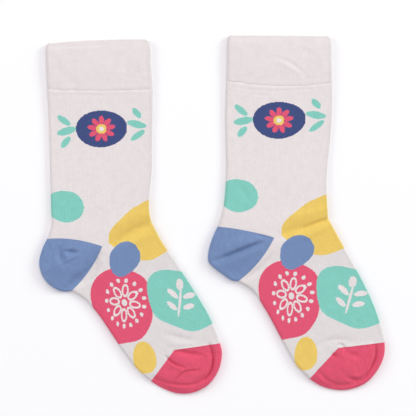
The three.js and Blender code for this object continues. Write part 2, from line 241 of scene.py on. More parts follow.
RIGHT_CREASES = [
    ("cuff crease", 1.4, 0.55,
     [(1.5, 157.4), (9.5, 154.1), (14.7, 151.4), (20.4, 147.2), (24.8, 143.4), (28.6, 138.4)]),
    ("cuff crease edge", 2.2, -0.35, [(0, 153.4), (8.6, 150.6), (16, 145.6), (21.5, 141.0)]),
    ("small cuff crease", 2.0, 0.28, [(21.5, 165.4), (28.2, 161.4), (37, 157)]),
    ("second line", 0.9, 0.25, [(-34, 130.4), (-8, 127.6), (16, 128.4), (40, 129.6)]),
    ("third line", 1.0, 0.35, [(-16, 124.4), (-4, 123.6)]),
    ("leg hollow back", 9.0, 0.35, [(-30, 112), (-30, 66)]),
    ("leg hollow front", 8.0, 0.3, [(33, 104), (36, 62)]),
    ("leg crease", 2.4, 0.6, [(-31, 46), (-26, 39), (-21.5, 31.5)]),
    ("leg swell", 10.0, -0.4, [(2, 66), (8, 34)]),
    ("ankle trough", 4.2, 1.6, [(6, 2), (17, 6.5), (29.5, 9.4)]),
    ("ankle fold", 2.0, 2.3, [(26, 8.2), (38, 13), (48, 16.4)]),
    ("ankle ridge", 4.0, -0.8, [(12, 18), (28, 20), (44, 25)]),
    ("instep ridge", 3.2, -0.8, [(24, 0), (36, 5), (48, 10)]),
    ("heel gore", 1.9, 3.9, [(-12.5, -4.6), (-21, -7.9), (-29, -11.0), (-36.5, -14.1), (-43, -17.2)]),
    ("gore tail", 2.8, 1.2, [(-38, -15.2), (-46, -18), (-54, -21)]),
    ("upper gore ridge", 3.4, -0.6, [(-18, 0.4), (-32, -4.4), (-46, -9.6)]),
    ("lower gore ridge", 3.2, -0.8, [(-12, -9.6), (-24, -15.4), (-38, -21)]),
    ("gore head", 1.6, 0.9, [(-15, 2.2), (-9, 0.8), (-3, -0.8)]),
    ("lower heel hollow", 3.4, 1.0, [(-30, -27), (-38, -31.6)]),
    ("sole trough", 2.8, 1.8, [(-1.6, -15), (-12.5, -27.4), (-23.4, -35)]),
    ("arch hollow", 7.0, 0.5, [(0, -46), (16, -68)]),
    ("instep hollow", 8.0, 0.5, [(54, -26), (64, -46)]),
    ("foot trough", 2.4, 0.8, [(34, -97), (45.8, -90), (57, -88.6), (70, -90)]),
    ("toe crescent", 1.1, 2.4, [(88.2, -93.4), (88.2, -102.8), (84.4, -111.8), (78.9, -120.4)]),
    ("toe crescent shelf", 2.2, -0.8, [(84.6, -95), (84.4, -103), (80.6, -111)]),
    ("toe bottom trough", 2.2, 1.8,
     [(80, -119.6), (76.8, -122.6), (66.2, -127.2), (54.7, -127.6), (45.8, -123.6), (37.8, -116)]),
    ("toe lower slope", 4.2, 3.2, [(70, -134), (56, -134), (43, -130.5), (33, -124)]),
    ("toe dent", 1.8, 2.0, [(64, -120.8), (68.6, -123.2), (73, -123.0)]),
    ("toe dent ridge", 1.6, -0.9, [(66.6, -119.0), (72.6, -119.6), (77, -117)]),
    ("toe side dent", 2.6, 1.3, [(62, -100), (74, -103.4)]),
    ("toe swell", 6.0, -0.7, [(52, -112), (66, -112)]),
    ("toe point pit", 1.5, 2.0, [(50.4, -101), (54.4, -103.4)]),
    ("toe point bump", 1.8, -0.5, [(57.2, -97.6), (60.2, -104)]),
    ("toe point fold", 1.2, 1.4, [(55, -93.4), (58.4, -93.0), (62, -96.8)]),
    ("toe seam", 0.8, -0.5, [(55.6, -95.6), (76, -93), (95.6, -90.9)]),
]

PAIR = ((LEFT_SOCK, LEFT_CREASES), (RIGHT_SOCK, RIGHT_CREASES))

# Creases of the layer on the ground, a little lifted, and the same on both socks
GROUND_CREASES = [
    ("ground ankle", 3.4, 0.5, [(12, 14), (26, 19), (42, 25)]),
    ("ground instep", 3.0, 0.35, [(20, -4), (36, 4)]),
    ("ground heel", 2.6, 0.6, [(-12, -4), (-28, -11), (-46, -18)]),
    ("ground arch", 4.0, 0.35, [(2, -44), (18, -62)]),
    ("ground leg", 3.0, 0.3, [(-30, 48), (-22, 34)]),
    ("ground cuff", 2.4, 0.4, [(8, 158), (22, 148)]),
    ("ground toe", 2.6, 0.5, [(62, -103), (80, -110)]),
]

# How each knit takes the light. sheen is its bloom, and relief a stitch's height in millimetres.
# The others are shares of its brightness: painted shade round a fold, patches and streaks of uneven
# yarn, and painted shade in the lines between the wales.
WELT_KNIT = {"sheen": 0.04, "fold": 0.16, "patches": 0.10, "streaks": 0.07, "lines": 0.04, "relief": 0.3}
JERSEY_KNIT = {**WELT_KNIT, "streaks": 0.09, "lines": 0.05, "relief": 0.36}
HEEL_KNIT = {"sheen": 0.12, "fold": 0.0, "patches": 0.22, "streaks": 0.22, "lines": 0.2, "relief": 0.5}
TOE_KNIT = {**HEEL_KNIT, "patches": 0.26, "streaks": 0.24, "lines": 0.12}

# Brightness that every knit starts from, and the share of it that a stitch's height gives as painted
# shade
BRIGHTNESS = 0.95
STITCH_SHADE = 0.14

# Sizes in millimetres of the yarn's patches and streaks, of its nap and of places with darker
# dye. Streaks are longer along a wale.
PATCH_SIZE = 6.0
STREAK_SIZE = 1.6
STREAK_STRETCH = (1.0, 7.0, 1.0)
NAP_SIZE = 2.6
NAP_DEPTH = 0.38
DYE_SIZE = 14.0
DARKER_DYE = 0.94

# Rounded fields of colour in the jersey: colour, middle in millimetres from the ankle point along
# the opened cloth, half width and half height, and turn in degrees. A field's border wanders by
# a share of its size, over patches of this many millimetres.
PEBBLES = [
    ("teal", (-32, 33), (17, 14), 12),
    ("yellow", (33, -2), (27, 29), 10),
    ("rose", (-18, -48), (30, 33), -14),
    ("teal", (30, -70), (26, 27), 18),
    ("blue", (8.6, -19), (16, 13), 32),
    ("yellow", (-31, -95), (13, 12), 0),
]
PEBBLE_WANDER = 0.5
PEBBLE_WANDER_SIZE = 30.0

# The leaves beside the badge, and the sprig on the foot
LEAVES = [
    ("teal", (-28, 100), (8.5, 3.2), 18),
    ("teal", (-30, 109), (6.5, 2.8), -34),
    ("teal", (-29, 90.5), (6.0, 2.6), 52),
    ("teal", (30, 104.5), (8.5, 3.2), 160),
    ("teal", (31, 94.4), (7.0, 2.8), 214),
    ("teal", (30, 114.7), (5.6, 2.5), 128),
    ("ground", (27, -73), (15.0, 0.95), 57),
    ("ground", (35.6, -57.6), (5.6, 2.6), 60),
    ("ground", (26.2, -63.8), (5.4, 2.4), 104),
    ("ground", (37.4, -68.6), (5.4, 2.4), 12),
    ("ground", (19.8, -73.8), (5.0, 2.3), 106),
    ("ground", (31.8, -78.0), (5.0, 2.3), 10),
]

# A flower on the foot and one on the leg. out is the place of a petal or dot on its spoke, and
# every other pair but at is a half width and half height.
ROSETTE = {
    "at": (-14, -50),
    "heart": (2.9, 2.9),
    "petals": {"count": 8, "out": (0.0, 10.6), "size": (3.5, 5.8), "core": (1.9, 3.8)},
    "dots": {"count": 16, "out": (0.0, 19.4), "size": (1.7, 1.9)},
}
BADGE = {
    "at": (1, 102),
    "size": (21, 16),
    "petals": {"count": 9, "out": (0.0, 7.4), "size": (2.1, 4.0)},
    "disc": (4.2, 4.2),
    "heart": (2.0, 2.0),
}

# Dyed yarns float behind the foot's white, which is greyer from the first of these courses to
# the second
BACKED_COURSES = (24.0, -44.0)

# The stage, in metres. The panels are a little green and the world a little pink, so that the
# shadows beside the socks turn lilac.
FLOOR_HALF = 1.5
CAMERA_ASIDE = (-3.5 * MM, 6.03 * MM)
SENSOR_WIDTH = 36.0
NO_TINT = (1.0, 1.0, 1.0)
PANEL_TINT = (0.84, 1.0, 0.87)
LIGHTS = (
    {"name": "Overhead softbox", "at": (0.6, 3.0, 3.5), "size": 3.0, "power": 62.0, "tint": NO_TINT},
    {"name": "Left panel", "at": (-3.9, 0.9, 2.0), "size": 1.8, "power": 64.0, "tint": PANEL_TINT},
    {"name": "Right panel", "at": (3.9, 1.6, 1.8), "size": 1.6, "power": 104.0, "tint": PANEL_TINT},
)


def from_hex(code):
    """Linear colour of an sRGB hex value."""
    parts = [int(code[i:i + 2], 16) / 255 for i in (1, 3, 5)]
    return [x / 12.92 if x <= 0.04045 else ((x + 0.055) / 1.055) ** 2.4 for x in parts] + [1.0]


def smooth_point(points, place):
    """Point at a place, counted in spans, of the smooth line through the points."""
    last = len(points) - 1
    low = max(min(int(place), last - 1), 0)
    part = place - low
    before, start, end, after = (points[min(max(low + k, 0), last)] for k in (-1, 0, 1, 2))
    leave = (end - before) / 2
    arrive = (after - start) / 2
    bulge = (start - end) * 2 + leave + arrive
    lean = (end - start) * 3 - leave * 2 - arrive
    return bulge * part**3 + lean * part**2 + leave * part + start


def bent_point(start, bend, end, share):
    """Point of the curve from start to end that bends towards a third point."""
    return start * (1 - share) ** 2 + bend * (2 * share * (1 - share)) + end * share**2


def section_points(row):
    """The points that shape a section, with one between the middle and each edge to bend to."""
    back, middle, front = (Vector(row[key]) for key in ("back", "middle", "front"))
    if "bend" in row:
        back_bend = Vector(row["bend"])
        front_bend = (middle + front) / 2
    else:
        across = (front - back).normalized()
        back_bend = middle + across * ((back - middle).dot(across) / 2)
        front_bend = middle + across * ((front - middle).dot(across) / 2)
    return {
        "back": back,
        "back_bend": back_bend,
        "middle": middle,
        "front_bend": front_bend,
        "front": front,
    }


def sections_of(rows, step):
    """Sections about one step apart down the rows, with the distance walked along the middle."""
    shapes = [section_points(row) for row in rows]
    lines = {key: [shape[key] for shape in shapes] for key in shapes[0]}
    sections = []
    walked = 0.0
    for low in range(len(rows) - 1):
        span = (lines["middle"][low + 1] - lines["middle"][low]).length
        wide = (lines["front"][low + 1] - lines["front"][low]).length
        count = max(1, round(max(span, wide) / step))
        last = low == len(rows) - 2
        for i in range(count + last):
            part = i / count
            section = {key: smooth_point(points, low + part) for key, points in lines.items()}
            section["high"] = rows[low]["high"] * (1 - part) + rows[low + 1]["high"] * part
            if sections:
                walked += (section["middle"] - sections[-1]["middle"]).length
            section["along"] = walked
            sections.append(section)
    return sections


def prepared(creases):
    """The creases with their smooth lines, and the boxes outside which they do nothing."""
    ready = []
    for _, width, depth, path in creases:
        points = [Vector(point) for point in path]
        steps = (len(points) - 1) * CREASE_STEPS
        line = [smooth_point(points, i / CREASE_STEPS) for i in range(steps + 1)]
        reach = CREASE_REACH * width
        low = Vector((min(point.x for point in line) - reach, min(point.y for point in line) - reach))
        high = Vector((max(point.x for point in line) + reach, max(point.y for point in line) + reach))
        ready.append({"width": width, "depth": depth, "line": line, "low": low, "high": high})
    return ready


def nearest_on(line, spot):
    """Distance from a spot to a line, and the share of the line at which it is nearest."""
    best, share = math.inf, 0.0
    for i, (start, end) in enumerate(zip(line, line[1:])):
        run = end - start
        part = min(max((spot - start).dot(run) / run.length_squared, 0.0), 1.0)
        distance = (spot - start - run * part).length
        if distance < best:
            best, share = distance, (i + part) / (len(line) - 1)
    return best, share


def pressed_by(creases, spot):
    """How far the creases press the cloth down at a spot of the plan."""
    total = 0.0
    for crease in creases:
        low, high = crease["low"], crease["high"]
        if low.x < spot.x < high.x and low.y < spot.y < high.y:
            distance, share = nearest_on(crease["line"], spot)
            ease = math.sin(math.pi * min(max(share, CREASE_END), 1 - CREASE_END)) ** 0.5
            total += crease["depth"] * ease * math.exp(-((distance / crease["width"]) ** 2))
    return total


def noise_at(x, y, layer):
    """Smooth noise whose patches are about 1 wide."""
    return noise.noise(Vector((x, y, layer)))


def wandering(place, settings):
    """Smooth change along the line at the foot of a cuff."""
    return settings["by"] * noise_at(place / settings["size"], 0, settings["layer"])


def unevenness(spot):
    """Soft rise and fall of cloth that was smoothed by hand, in millimetres."""
    return sum(
        patch["high"] * noise_at(spot.x / patch["wide"], spot.y / patch["long"], patch["layer"])
        for patch in UNEVENNESS
    )


class Station:
    """One place of a half round: its point, its wale and course, and its place in the opened plan."""

    def __init__(self, point, wale, plan):
        self.point = point
        self.wale = wale
        self.plan = plan
        self.course = 0.0


def half_round(shape, inset, top_at, lift_at, push):
    """Stations from the middle on the ground, round the fold and back to the middle above."""
    edge, bend, middle, outward = shape["edge"], shape["bend"], shape["middle"], shape["outward"]
    radius = shape["high"] / 2
    fold = edge - outward * radius
    stations = []

    def lay(spot, height, wale, plan):
        """Adds a station over a spot, at a height from the ground."""
        stations.append(Station((spot + push).to_3d() + Vector((0, 0, height)), wale, plan))

    for i in range(DIVISIONS["below"]):
        share = 1 - i / DIVISIONS["below"]
        spot = bent_point(fold, bend, middle, share)
        wale = -sum(WALES.values()) + WALES["below"] * (1 - share)
        lay(spot, inset + lift_at(spot), wale, spot)
    hollow = top_at(fold, 0.0) - 2 * inset
    for i in range(DIVISIONS["fold"]):
        part = i / DIVISIONS["fold"]
        angle = math.pi * (part - 0.5)
        spot = fold + outward * ((radius - inset) * math.cos(angle))
        opened = fold + outward * (radius * (math.pi / 2 - abs(angle)))
        wale = -WALES["above"] - WALES["fold"] * (1 - part)
        lay(spot, inset + hollow * (0.5 + 0.5 * math.sin(angle)), wale, opened)
    for i in range(DIVISIONS["above"] + 1):
        share = i / DIVISIONS["above"]
        spot = bent_point(fold, bend, middle, share)
        lay(spot, top_at(spot, share) - inset, -WALES["above"] * (1 - share), spot)
    return stations


def whole_round(section, inset, top_at, lift_at, push=NO_PUSH):
    """Stations of a section: the back half from below to above, then the front half back down."""
    halves = []
    for side in ("back", "front"):
        bend = section[f"{side}_bend"]
        shape = {
            "edge": section[side],
            "bend": bend,
            "middle": section["middle"],
            "outward": (section[side] - bend).normalized(),
            "high": section["high"],
        }
        halves.append(half_round(shape, inset, top_at, lift_at, push))
    back, front = halves
    for station in front:
        station.wale = -station.wale
    return back + front[-2::-1]


def cloth_of(name, sheets, anchor, wall=None):
    """Bends one bmesh grid for each sheet of stations, joins what touches, and gives the object."""
    cloth = bmesh.new()
    stitches = cloth.loops.layers.uv.new(STITCH_MAP)
    for rows in sheets:
        first = len(cloth.verts)
        bmesh.ops.create_grid(cloth, x_segments=len(rows[0]) - 1, y_segments=len(rows) - 1, size=1)
        cloth.verts.ensure_lookup_table()
        cloth.verts.index_update()
        stations = [station for row in rows for station in row]
        for vert in cloth.verts[first:]:
            vert.co = (stations[vert.index - first].point + anchor) * MM
        for face in cloth.faces:
            if face.verts[0].index >= first:
                for loop in face.loops:
                    station = stations[loop.vert.index - first]
                    loop[stitches].uv = (station.wale, station.course)
    bmesh.ops.remove_doubles(cloth, verts=cloth.verts, dist=JOINED_WITHIN * MM)
    for face in cloth.faces:
        face.smooth = True
    mesh = bpy.data.meshes.new(name)
    cloth.to_mesh(mesh)
    cloth.free()
    piece = bpy.data.objects.new(name, mesh)
    bpy.context.scene.collection.objects.link(piece)
    if wall:
        shell = piece.modifiers.new("Cloth thickness", "SOLIDIFY")
        shell.thickness = wall
        shell.offset = -1
    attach(piece, "root")
    return piece


def anchor_of(sock):
    """The ankle point of a sock in the frame, in millimetres."""
    return Vector((*sock["ankle"], 0))


def ground_lift():
    """Height of the layer on the ground, which lies flat but for its own creases."""
    creases = prepared(GROUND_CREASES)
    return lambda spot: max(0.0, pressed_by(creases, spot))


def build_cuff(sock, creases, sizes):
    """The double welt: a closed band whose cloth turns at the mouth and at its lower edge."""
    wall = sizes.welt_thickness / MM
    turn = wall / 2
    rows = [{**row, "high": CUFF_HIGH} for row in sock["cuff"]]

    # The turn at the mouth takes the room of the first section
    sections = sections_of(rows, ROW_STEP)[1:]
    length = sections[-1]["along"]
    lift_at = ground_lift()

    # The way out of the mouth, from a section a little further down
    upwards = (sections[0]["middle"] - sections[3]["middle"]).normalized()

    def round_at(section, inset, push=NO_PUSH):
        """Stations of a section, set in from its outline and pushed along the sock."""
        from_line = length - section["along"]
        mouth = (CUFF_HIGH - MOUTH_HIGH) * math.exp(-((section["along"] / MOUTH_FADE) ** 2))
        fall = CUFF_LINE["fall"] * math.exp(-((from_line / CUFF_LINE["fade"]) ** 2))

        def top_at(spot, share):
            place = spot.x + sock["ankle"][0]
            wander = wandering(place, CUFF_LINE_WANDER)
            depth = CUFF_LINE["depth"] * (1 + wandering(place, CUFF_LINE_UNEVEN))
            dip = depth * math.exp(-(((from_line + wander) / CUFF_LINE["width"]) ** 2))
            top = section["high"] + unevenness(spot) - mouth - fall - dip - pressed_by(creases, spot)
            return max(top, 2 * wall + LEAST_HOLLOW)

        stations = whole_round(section, inset, top_at, lift_at, push)
        for station in stations:
            station.course = (from_line - inset + push.length) / COURSE
        return stations

    outer = [round_at(section, 0.0) for section in reversed(sections)]
    inner = [round_at(section, wall) for section in sections[::INNER_ROWS] + [sections[-1]]]
    mouth_turn = []
    for i in range(1, TURN_STEPS):
        angle = math.pi * i / TURN_STEPS
        push = upwards * (turn * math.sin(angle))
        mouth_turn.append(round_at(sections[0], turn * (1 - math.cos(angle)), push))
    band = outer + mouth_turn + inner + outer[:1]
    piece = cloth_of(f"{sock['name']}_welt_cuff", [band], anchor_of(sock))
    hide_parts(f"{sock['name']}_cuff")
    return piece


def leg_rows(sock):
    """The leg's sections, the first of them tucked a little way into the cuff."""
    tucked = {key: (x, y + LEG_LIP["tuck"]) for key, (x, y) in sock["cuff"][-1].items()}
    return [{**tucked, "high": sock["leg"][0]["high"]}, *sock["leg"]]


def build_leg_foot(sock, creases, sizes):
    """The plain tube of leg, instep and sole, open at the back where the heel is knitted in."""
    wall = sizes.cloth_thickness / MM
    lift_at = ground_lift()

    def rounds(rows, lip):
        """Each section's place along the rows, with its stations."""
        result = []
        for section in sections_of(rows, ROW_STEP):
            raised = inset = 0.0
            if lip:
                inset = lip["inset"] * max(0.0, 1 - section["along"] / lip["tuck"])
                near = 1 - lip["held"] * math.exp(-((section["along"] / lip["rise"]) ** 2))
                raised = lip["high"] * near * math.exp(-section["along"] / lip["fade"])

            def top_at(spot, share):
                top = section["high"] + raised + unevenness(spot) - pressed_by(creases, spot)
                return max(top, 2 * wall + LEAST_HOLLOW)

            result.append((section["along"], whole_round(section, inset, top_at, lift_at)))
        return result

    leg = rounds(leg_rows(sock), LEG_LIP)
    foot = rounds(sock["foot"], None)

    # Courses are counted up and down from the ankle
    leg_length = leg[-1][0]
    for along, stations in leg:
        for station in stations:
            station.course = (leg_length - along) / COURSE
    for along, stations in foot:
        for station in stations:
            station.course = -along / COURSE
    sheets = [[stations for _, stations in reversed(part)] for part in (leg, foot)]
    name = f"{sock['name']}_leg_and_foot"
    piece = cloth_of(name, sheets, anchor_of(sock), sizes.cloth_thickness)
    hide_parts(f"{sock['name']}_leg_foot")
    return piece


def outline_points(points, step):
    """Points of a smooth outline at even distances, each with its direction."""
    steps = OUTLINE_STEPS * (len(points) - 1)
    fine = [smooth_point(points, i / OUTLINE_STEPS) for i in range(steps + 1)]
    walked = [0.0]
    for start, end in zip(fine, fine[1:]):
        walked.append(walked[-1] + (end - start).length)
    count = max(LEAST_SPOKES, round(walked[-1] / step))
    found = []
    place = 0
    for i in range(count + 1):
        target = walked[-1] * i / count
        while place < len(fine) - 2 and walked[place + 1] < target:
            place += 1
        part = (target - walked[place]) / (walked[place + 1] - walked[place])
        run = fine[place + 1] - fine[place]
        found.append((fine[place] + run * part, run.normalized()))
    return found


def build_pocket(sock, kind, shape, creases, sizes):
    """A heel or a toe: a fan of spokes from its point to the folded outline."""
    wall = sizes.pocket_thickness / MM
    lift_at = ground_lift()
    point, high = shape["point"], shape["high"]
    first, last = shape["borders"]
    outline = [first["edge"], *(Vector(corner) for corner in sock[kind]), last["edge"]]
    spots = outline_points(outline, SPOKE_STEP)
    offsets = [border["bend"] - (border["edge"] + point) / 2 for border in (first, last)]

    def courses_from(border, side, plan):
        """Wale and course of a place, counted from one border of the pocket."""
        across = (border["edge"] - point).normalized()
        away = Vector((-across.y, across.x)) * side
        return (plan - point).dot(across) / WALE, (plan - point).dot(away) / COURSE

    rows = []
    for i, (end, run) in enumerate(spots):
        share = i / (len(spots) - 1)
        crown = math.sin(math.pi * share)
        chord = end - point
        bend = (end + point) / 2 + offsets[0].lerp(offsets[1], share)
        across = Vector((run.y, -run.x))
        if across.dot(chord) < 0:
            across = -across

        def top_at(spot, inwards):
            swell = RIM_SWELL * (1 - inwards) + shape["swell"] * math.sin(math.pi * inwards)
            top = high + crown * swell
            top += unevenness(spot) - pressed_by(creases, spot)
            return max(top, 2 * wall + LEAST_HOLLOW)

        spoke = {
            "edge": end,
            "bend": bend,
            "middle": point,
            "outward": (end - bend).normalized().lerp(across, crown).normalized(),
            "high": high + RIM_SWELL * crown,
        }
        stations = half_round(spoke, 0.0, top_at, lift_at, NO_PUSH)
        for station in stations:
            if share < 0.5:
                wale, course = courses_from(first, 1, station.plan)
                station.wale, station.course = -wale, -course
            else:
                wale, course = courses_from(last, -1, station.plan)
                station.wale, station.course = -wale, course
        rows.append(stations)
    name = f"{sock['name']}_{kind}_pocket"
    piece = cloth_of(name, [rows[::-1]], anchor_of(sock), sizes.pocket_thickness)
    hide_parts(f"{sock['name']}_{kind}")
    return piece


def build_heel(sock, creases, sizes):
    """The heel pocket, between the leg's last section and the foot's first."""
    above = section_points(sock["leg"][-1])
    below = section_points(sock["foot"][0])
    shape = {
        "borders": [{"edge": row["back"], "bend": row["back_bend"]} for row in (above, below)],
        "point": above["middle"],
        "high": sock["leg"][-1]["high"],
        "swell": HEEL_SWELL,
    }
    return build_pocket(sock, "heel", shape, creases, sizes)


def build_toe(sock, creases, sizes):
    """The toe pocket, across the foot's last section."""
    end = section_points(sock["foot"][-1])
    shape = {
        "borders": [{"edge": end[side], "bend": end[f"{side}_bend"]} for side in ("back", "front")],
        "point": end["middle"],
        "high": sock["foot"][-1]["high"],
        "swell": TOE_SWELL,
    }
    return build_pocket(sock, "toe", shape, creases, sizes)


def add(tree, kind, inputs=(), output=0, **settings):
    """Adds a node with its settings and with values or links at its inputs, and gives an output."""
    node = tree.nodes.new(f"ShaderNode{kind}")
    for name, value in settings.items():
        setattr(node, name, value)
    for name, value in inputs.items() if isinstance(inputs, dict) else enumerate(inputs):
        if isinstance(value, bpy.types.NodeSocket):
            tree.links.new(value, node.inputs[name])
        else:
            node.inputs[name].default_value = value
    return node.outputs[output]


def knit_places(tree):
    """Places on the knit: in millimetres, at the middle of each stitch, and the stitch's own height."""
    stitches = add(tree, "UVMap", uv_map=STITCH_MAP)
    parts = add(tree, "SeparateXYZ", (stitches,)).node
    wale, course = parts.outputs[0], parts.outputs[1]
    # How near a stitch is to the fold, for the painted shade that darkens the wales beside it
    from_fold = add(tree, "Math", (wale, WALES_TO_FOLD), operation="ADD")
    folded = add(tree, "Math", (from_fold, 2.0 * WALES_TO_FOLD), operation="PINGPONG")
    mirrored = add(tree, "Math", (folded, WALES_TO_FOLD), operation="SUBTRACT")
    aside = add(tree, "Math", (mirrored,), operation="ABSOLUTE")
    painted_fold_shade = add(tree, "MapRange", (aside, WALES_TO_FOLD - STITCH["fold_shade_wales"], WALES_TO_FOLD))
    cell_wale = add(tree, "Math", (mirrored,), operation="FLOOR")
    cell_course = add(tree, "Math", (course,), operation="FLOOR")
    cells = add(tree, "CombineXYZ", (cell_wale, cell_course))
    middles = add(tree, "VectorMath", (cells, (0.5, 0.5, 0.0)), operation="ADD")
    to_mm = (WALE, COURSE, 1.0)
    cells = add(tree, "VectorMath", (middles, to_mm), operation="MULTIPLY")
    places = add(tree, "VectorMath", (stitches, to_mm), operation="MULTIPLY")

    # Each stitch is a V: two legs, highest halfway between its own middle and its border
    drawn_wale = add(tree, "Math", (wale, LOOPS_DRAWN), operation="DIVIDE")
    drawn_course = add(tree, "Math", (course, LOOPS_DRAWN), operation="DIVIDE")
    within = add(tree, "Math", (drawn_wale,), operation="FRACT")
    within = add(tree, "Math", (within, 0.5), operation="SUBTRACT")
    within = add(tree, "Math", (within,), operation="ABSOLUTE")
    leaning = add(tree, "Math", (within, STITCH["lean"], drawn_course), operation="MULTIPLY_ADD")
    leg = add(tree, "Math", (within, 4.0, -1.0), operation="MULTIPLY_ADD")
    square = add(tree, "Math", (leg, leg), operation="MULTIPLY")
    bulge = add(tree, "Math", (1.0, square), operation="SUBTRACT")
    angle = add(tree, "Math", (leaning, 2 * math.pi), operation="MULTIPLY")
    wave = add(tree, "Math", (angle,), operation="COSINE")
    loop = add(tree, "Math", (wave, -STITCH["wave"], 1 - STITCH["wave"]), operation="MULTIPLY_ADD")
    height = add(tree, "Math", (bulge, loop), operation="MULTIPLY")
    # Painted shade between the wales: line is 0 in a wale's middle and 1 at its border
    line = add(tree, "Math", (within, 2.0), operation="MULTIPLY")
    line = add(tree, "Math", (line, STITCH["fall"]), operation="POWER")
    return {
        "places": places,
        "cells": cells,
        "course": course,
        "fold": painted_fold_shade,
        "height": height,
        "line": line,
    }


def grain(tree, places, size, detail=2.0, stretch=(1, 1, 1)):
    """Uneven pattern from 0 to 1 whose patches are about one size, in millimetres."""
    scaled = add(tree, "Mapping", {"Vector": places, "Scale": [1 / (size * s) for s in stretch]})
    return add(tree, "TexNoise", {"Vector": scaled, "Scale": 1.0, "Detail": detail})


def inside(tree, places, centre, radii, turn=0.0, wander=0.0):
    """1 inside an oval and 0 outside it. wander moves its border in and out."""
    frame_of_oval = ((*centre, 0.0), (0.0, 0.0, math.radians(turn)), (*radii, 1.0))
    local = add(tree, "Mapping", (places, *frame_of_oval), vector_type="TEXTURE")
    reach = add(tree, "VectorMath", (local,), output=1, operation="LENGTH")
    moved = add(tree, "Math", (reach, wander), operation="ADD")
    return add(tree, "Math", (moved, 1.0), operation="LESS_THAN")


def round_about(tree, places, centre, count):
    """Places turned to the nearest of some spokes round a centre: x across it and y along it."""
    local = add(tree, "VectorMath", (places, (*centre, 0.0)), operation="SUBTRACT")
    parts = add(tree, "SeparateXYZ", (local,)).node
    radius = add(tree, "VectorMath", (local,), output=1, operation="LENGTH")
    angle = add(tree, "Math", (parts.outputs[0], parts.outputs[1]), operation="ARCTAN2")
    turns = add(tree, "Math", (angle, count / (2 * math.pi)), operation="MULTIPLY")
    whole = add(tree, "Math", (turns,), operation="ROUND")
    off = add(tree, "Math", (turns, whole), operation="SUBTRACT")
    angle = add(tree, "Math", (off, 2 * math.pi / count), operation="MULTIPLY")
    sine = add(tree, "Math", (angle,), operation="SINE")
    cosine = add(tree, "Math", (angle,), operation="COSINE")
    across = add(tree, "Math", (radius, sine), operation="MULTIPLY")
    along = add(tree, "Math", (radius, cosine), operation="MULTIPLY")
    return add(tree, "CombineXYZ", (across, along))


def cotton(name, colour_of, finish):
    """A knitted cotton: its colours, a V for each stitch in bump and painted shade, soft mottling and a
    short nap.
    """
    material = bpy.data.materials.new(name)
    material.use_nodes = True
    tree = material.node_tree
    shader = tree.nodes["Principled BSDF"]
    knit = knit_places(tree)
    colour = colour_of(tree, knit)

    # Yarn thickness varies from wale to wale, and the tone changes in patches
    patches, streaks, lines = finish["patches"], finish["streaks"], finish["lines"]
    patchy = grain(tree, knit["places"], PATCH_SIZE, detail=3.0)
    streaky = grain(tree, knit["places"], STREAK_SIZE, stretch=STREAK_STRETCH)
    even = BRIGHTNESS - patches / 2 - streaks / 2 + lines / 4
    tone_and_painted_shade = add(tree, "Math", (patchy, patches, even), operation="MULTIPLY_ADD")
    tone_and_painted_shade = add(tree, "Math", (streaky, streaks, tone_and_painted_shade), operation="MULTIPLY_ADD")
    # Painted shade: darker in the lines between wales and where a stitch is low
    tone_and_painted_shade = add(tree, "Math", (knit["line"], -lines, tone_and_painted_shade), operation="MULTIPLY_ADD")
    tone_and_painted_shade = add(tree, "Math", (knit["height"], STITCH_SHADE, tone_and_painted_shade), operation="MULTIPLY_ADD")

    # Painted shade: the cloth is darker over the wales next to a fold
    tone_and_painted_shade = add(tree, "Math", (knit["fold"], -finish["fold"], tone_and_painted_shade), operation="MULTIPLY_ADD")
    grey = add(tree, "CombineXYZ", (tone_and_painted_shade, tone_and_painted_shade, tone_and_painted_shade))
    colour = add(tree, "VectorMath", (colour, grey), operation="MULTIPLY")
    tree.links.new(colour, shader.inputs["Base Color"])

    nap = grain(tree, knit["places"], NAP_SIZE, detail=3.0)
    soft = add(tree, "Bump", {"Strength": 0.6, "Distance": NAP_DEPTH * MM, "Height": nap})
    relief = {
        "Strength": 0.5,
        "Distance": finish["relief"] * MM,
        "Height": knit["height"],
        "Normal": soft,
    }
    tree.links.new(add(tree, "Bump", relief), shader.inputs["Normal"])
    shader.inputs["Roughness"].default_value = 0.92
    shader.inputs["Specular IOR Level"].default_value = 0.25
    shader.inputs["Sheen Weight"].default_value = finish["sheen"]
    shader.inputs["Sheen Roughness"].default_value = 0.6
    return material


